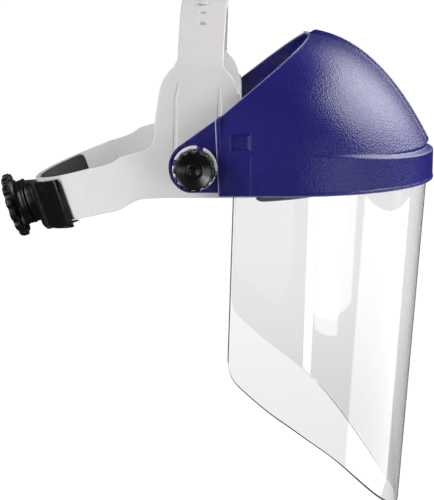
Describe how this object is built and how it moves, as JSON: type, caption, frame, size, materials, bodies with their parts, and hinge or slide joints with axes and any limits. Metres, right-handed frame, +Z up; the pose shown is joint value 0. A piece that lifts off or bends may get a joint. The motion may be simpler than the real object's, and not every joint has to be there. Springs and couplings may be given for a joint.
{
  "type": "face shield",
  "caption": "Crown protector with a clear wrap-around window that tilts up on side knobs, on a headband with an overhead strap, brow sweatband and rear ratchet.",
  "frame": {"origin": "middle of the head opening, between the side knobs and 2.0 mm below the visor's pivot axis", "axes": "+X forward out of the wearer's face, +Y to the wearer's left, +Z up"},
  "size_m": [0.295, 0.236, 0.3473],
  "materials": {
    "crown_blue": "moulded nylon, fine pebble texture with a satin shine",
    "clear_window": "clear polished polycarbonate",
    "band_grey": "smooth moulded polyethylene",
    "rear_strap_grey": "smooth flexible polyethylene",
    "sweatband_black": "knitted cover over foam",
    "bolt_zinc": "zinc-plated steel",
    "washer_nylon": "natural nylon",
    "ring_white": "white acetal",
    "knob_black": "black moulded nylon, satin",
    "insert_brass": "turned brass",
    "ratchet_black": "black moulded nylon, satin",
    "cover_black": "black soft-touch plastic",
    "screw_steel": "plain steel",
    "spring_steel": "bright spring steel",
    "pinion_nylon": "natural nylon"
  },
  "bodies": {
    "headgear": {"headband": "band_grey", "brow_pad": "sweatband_black", "rear_strap_left": "rear_strap_grey", "rear_strap_right": "rear_strap_grey", "pivot_bolt_left": "bolt_zinc", "pivot_bolt_right": "bolt_zinc", "friction_washer_left": "washer_nylon", "friction_washer_right": "washer_nylon"},
    "visor": {"crown_protector": "crown_blue", "window": "clear_window", "detent_ring_left": "ring_white", "detent_ring_right": "ring_white"},
    "left_knob": {"side_knob_left": "knob_black", "knob_insert_left": "insert_brass"},
    "right_knob": {"side_knob_right": "knob_black", "knob_insert_right": "insert_brass"},
    "nape_ratchet": {"ratchet_housing": "ratchet_black", "ratchet_cover": "cover_black", "cover_screws": "screw_steel", "click_spring": "spring_steel"},
    "ratchet_dial": {"ratchet_knob": "ratchet_black", "pinion": "pinion_nylon", "knob_screw": "screw_steel"}
  },
  "joints": [
    {"name": "visor_tilt", "type": "hinge", "parent": "headgear", "child": "visor", "pos_m": [0, 0, 0.002], "axis": [0, -1, 0], "range_deg": [0, 80]},
    {"name": "left_knob_turn", "type": "hinge", "parent": "headgear", "child": "left_knob", "pos_m": [0, 0.11, 0.002], "axis": [0, 1, 0], "range_deg": [0, 360]},
    {"name": "right_knob_turn", "type": "hinge", "parent": "headgear", "child": "right_knob", "pos_m": [0, -0.11, 0.002], "axis": [0, -1, 0], "range_deg": [0, 360]},
    {"name": "band_size", "type": "slide", "parent": "headgear", "child": "nape_ratchet", "axis": [0.9483, 0, 0.3173], "range_m": [-0.01885, 0.01885], "deforming": ["rear_strap_left", "rear_strap_right"]},
    {"name": "ratchet_turn", "type": "hinge", "parent": "nape_ratchet", "child": "ratchet_dial", "pos_m": [-0.11535, 0, -0.03356], "axis": [-0.9483, 0, -0.3173], "range_deg": [-181, 181]}
  ],
  "couplings": [
    {"joint": "ratchet_turn", "follows": "band_size", "rad_per_m": 166.67}
  ]
}
